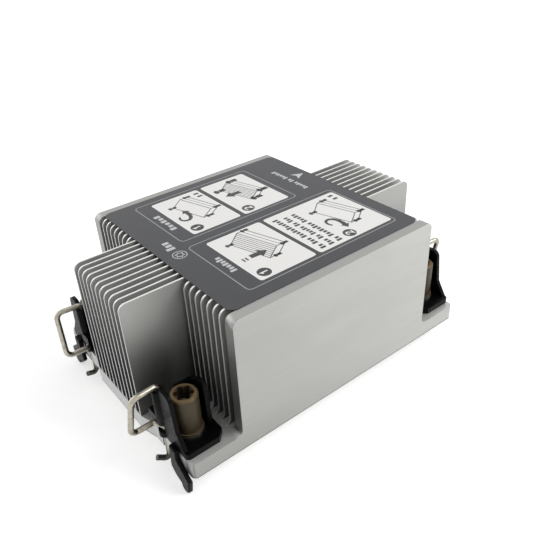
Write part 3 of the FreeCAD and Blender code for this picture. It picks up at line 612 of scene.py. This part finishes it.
def arrow_outline(tip_x, tip_y, way, length):
    """Block arrow that ends at a tip."""
    ahead = Vector(way).normalized()
    aside = Vector((-ahead.y, ahead.x))
    tip = Vector((tip_x, tip_y))
    neck = tip - ahead * ARROW_HEAD * ARROW_HEAD_LENGTH
    end = tip - ahead * length
    corners = (tip, neck + aside * ARROW_HEAD, neck + aside * ARROW_SHAFT, end + aside * ARROW_SHAFT,
               end - aside * ARROW_SHAFT, neck - aside * ARROW_SHAFT, neck - aside * ARROW_HEAD)
    return [tuple(corner) for corner in corners]


def draw_curved_arrow(ink, places):
    """Bent shaft that widens towards a pointed head."""
    for index, width in enumerate(CURVED_SHAFTS):
        ink.strip(places[index:index + 2], width)
    end = Vector(places[-1])
    ahead = (end - Vector(places[-2])).normalized()
    aside = Vector((-ahead.y, ahead.x)) * ARROW_HEAD * CURVED_HEAD_WIDTH
    ink.shape([tuple(corner) for corner in (end + ahead * ARROW_HEAD, end + aside, end - aside)])


def draw_heatsink(ink, x, y, scale, with_fins, nut_size):
    """Small slanted line drawing of the block with its corner nuts."""
    def placed(points):
        return upright(x, y, [(point[0] * scale, point[1] * scale) for point in points])

    def line(points, width=DRAWING_LINE, closed=False):
        ink.strip(placed(points), width, closed=closed)

    far_left, far_right, near_right, near_left = [Vector(corner) for corner in DRAWN_TOP]
    drop = Vector((0, -DRAWN_DROP))
    line((far_left, far_right, near_right, near_left), closed=True)
    line((far_left, far_left + drop, near_left + drop, near_right + drop, near_right))
    line((near_left, near_left + drop))
    line((near_left + drop / 2, near_right + drop / 2), GROOVE_LINE)
    if with_fins:
        for step in range(1, DRAWN_FINS):
            share = step / DRAWN_FINS
            line((far_left.lerp(near_left, share), far_right.lerp(near_right, share)), FIN_LINE)
    for foot in (far_left + drop, near_left + drop, near_right + drop, far_right):
        for outline in (DRAWN_FOOT, DRAWN_HEAD):
            ink.shape(placed([foot + Vector(corner) * nut_size for corner in outline]))


def draw_rows(ink, rows):
    """Rows of small blocks, which run towards -X in groups."""
    for start, foot, height, pitch, groups in rows:
        x = start
        for group in groups:
            for index in range(group):
                top = foot - height * BLOCK_HEIGHTS[index % len(BLOCK_HEIGHTS)]
                ink.shape(rounded(x - pitch * BLOCK_SHARE, top, x, foot, BLOCK_CORNER, steps=2))
                x -= pitch
            x -= pitch * GROUP_SPACE


def draw_drive_sign(ink, x, y, radius):
    """Ring with a six lobed star inside."""
    ink.strip(circle(x, y, radius), SIGN_LINE, closed=True)
    star = []
    steps = LOBES * STEPS_PER_LOBE
    for step in range(steps):
        angle = 2 * math.pi * step / steps
        reach = radius * (STAR_REACH + LOBE_REACH * math.cos(LOBES * angle))
        star.append((x + reach * math.cos(angle), y + reach * math.sin(angle)))
    ink.strip(star, SIGN_LINE, closed=True)


def print_panels(ink):
    for x0, y0, x1, y1 in PANELS:
        ink.shape(rounded(x0, y0, x1, y1, PANEL_CORNER))


def print_frames(ink):
    for x0, y0, x1, y1 in FRAMES:
        ink.strip(rounded(x0, y0, x1, y1, FRAME_CORNER), FRAME_LINE, closed=True)


def print_light_signs(ink):
    draw_rows(ink, LIGHT_ROWS)
    draw_drive_sign(ink, *DRIVE_SIGN)
    ink.shape(POINTER)


def print_drawings(ink):
    for drawing in DRAWINGS:
        draw_heatsink(ink, *drawing)
    draw_rows(ink, DARK_ROWS)


def print_discs(ink):
    """Discs under the numerals, arrows and dashes."""
    for x, y, _ in DISCS:
        ink.shape(circle(x, y, DISC_RADIUS))
    for arrow in ARROWS:
        ink.shape(arrow_outline(*arrow))
    for places in CURVED_ARROWS:
        draw_curved_arrow(ink, places)
    for x, y in DASHES:
        ink.shape(rounded(x - DASH_HALF_WIDTH, y - DASH_HALF_HEIGHT, x + DASH_HALF_WIDTH,
                          y + DASH_HALF_HEIGHT, DASH_CORNER, steps=2))


def print_numerals(ink):
    for x, y, number in DISCS:
        ink.strip(upright(x, y, NUMERALS[number]), NUMERAL_LINE)


def make_label_print():
    white = film("white_print", WHITE_INK, 0.42)
    light = film("light_print", LIGHT_INK, 0.42)
    grey = film("line_print", GREY_INK, 0.42)
    black = film("dark_print", BLACK_INK, 0.38)
    for name, material, layer, draw in (
            ("label_panels", white, PANEL_LAYER, print_panels),
            ("label_frames", grey, PANEL_LAYER, print_frames),
            ("label_light_signs", light, PANEL_LAYER, print_light_signs),
            ("label_drawings", black, DRAWING_LAYER, print_drawings),
            ("label_discs", black, DISC_LAYER, print_discs),
            ("label_numerals", white, NUMERAL_LAYER, print_numerals)):
        ink = Print(name, material, layer)
        draw(ink)
        ink.finish()


FLOOR_SIZE = 12.0
FLOOR_WHITE = 0.86
FLOOR_GLOW = 0.5


def make_floor():
    """White floor under the legs, which keeps the object's shadow."""
    made = Recipe("floor_white", Base_Color=(FLOOR_WHITE, FLOOR_WHITE, FLOOR_WHITE, 1), Roughness=0.9,
                  Specular_IOR_Level=0.1, Emission_Color=(1, 1, 1, 1))
    made.look(Emission_Strength=made.math("MULTIPLY", made.background_rays(), FLOOR_GLOW))
    low = cad_box[0].z
    half = FLOOR_SIZE / 2
    mesh = bpy.data.meshes.new("floor")
    mesh.from_pydata([(-half, -half, low), (half, -half, low), (half, half, low), (-half, half, low)],
                     [], [(0, 1, 2, 3)])
    mesh.materials.append(made.material)
    floor = bpy.data.objects.new("floor", mesh)
    bpy.context.scene.collection.objects.link(floor)


# Strength of the room's light near the horizon and overhead, and the upward share of a direction
# at which one starts to give way to the other and has done so.
HORIZON_LIGHT = 0.78
CEILING_LIGHT = 0.62
CEILING_RISE = (0.05, 0.45)
# Side of the room behind the camera, which is kept darker: the way to it, how squarely a direction
# faces it where the dark starts and is full, and the share of light that is left.
DARK_SIDE = (0.76, -0.60, 0.25)
DARK_SIDE_EDGE = (0.45, 0.95)
DARK_SIDE_LIGHT = 0.2


def make_world():
    """Soft room light from all round, with a plain white background."""
    world = bpy.data.worlds.new("studio")
    bpy.context.scene.world = world
    world.use_nodes = True
    made = Nodes(world.node_tree)
    way = made.node("ShaderNodeTexCoord").outputs["Generated"]
    ceiling = made.spread(made.axes(way)[2], *CEILING_RISE, HORIZON_LIGHT, CEILING_LIGHT)
    toward = made.node("ShaderNodeVectorMath", operation="DOT_PRODUCT")
    made.feed(toward.inputs[0], way)
    made.feed(toward.inputs[1], DARK_SIDE)
    shade = made.spread(toward.outputs["Value"], *DARK_SIDE_EDGE, 1.0, DARK_SIDE_LIGHT)
    room = made.math("MULTIPLY", ceiling, shade)
    background = made.tree.nodes["Background"]
    made.feed(background.inputs["Color"], (1, 1, 1, 1))
    made.feed(background.inputs["Strength"], made.math("MAXIMUM", room, made.background_rays()))


# Lamps: name, place, width and height in metres, and power in watts. All of them aim at one place.
LAMPS = (("key", (0.5, 0.5, 0.66), (0.5, 0.5), 4.2),
         ("left", (-0.8, -0.4, 0.35), (1.1, 0.8), 2.6))
LAMP_TARGET = (0, 0, 0.02)


def make_lamps():
    for name, place, (width, height), power in LAMPS:
        data = bpy.data.lights.new(name, "AREA")
        data.shape = "RECTANGLE"
        data.size = width
        data.size_y = height
        data.energy = power
        lamp = bpy.data.objects.new(name, data)
        lamp.location = place
        lamp.rotation_euler = (Vector(LAMP_TARGET) - Vector(place)).to_track_quat("-Z", "Y").to_euler()
        bpy.context.scene.collection.objects.link(lamp)


def make_camera():
    data = bpy.data.cameras.new("camera")
    data.sensor_width = SENSOR_WIDTH
    data.lens = FOCAL_PIXELS * SENSOR_WIDTH / IMAGE_SIZE
    data.shift_x = (IMAGE_SIZE / 2 - AXIS_PIXEL[0]) / IMAGE_SIZE
    data.shift_y = (AXIS_PIXEL[1] - IMAGE_SIZE / 2) / IMAGE_SIZE
    data.clip_start = NEAR_CLIP * MM
    camera = bpy.data.objects.new("camera", data)
    forward = Vector(CAMERA_FORWARD).normalized()
    up = Vector(CAMERA_RIGHT).cross(forward).normalized()
    right = forward.cross(up)
    turn = Matrix((right, up, -forward)).transposed()
    camera.matrix_world = Matrix.Translation(Vector(CAMERA_PLACE) * MM) @ turn.to_4x4()
    bpy.context.scene.collection.objects.link(camera)
    bpy.context.scene.camera = camera


make_camera()
make_floor()
make_world()
make_lamps()
dress_cad_nodes()
make_label_print()

scene = bpy.context.scene
scene.view_settings.view_transform = "Standard"
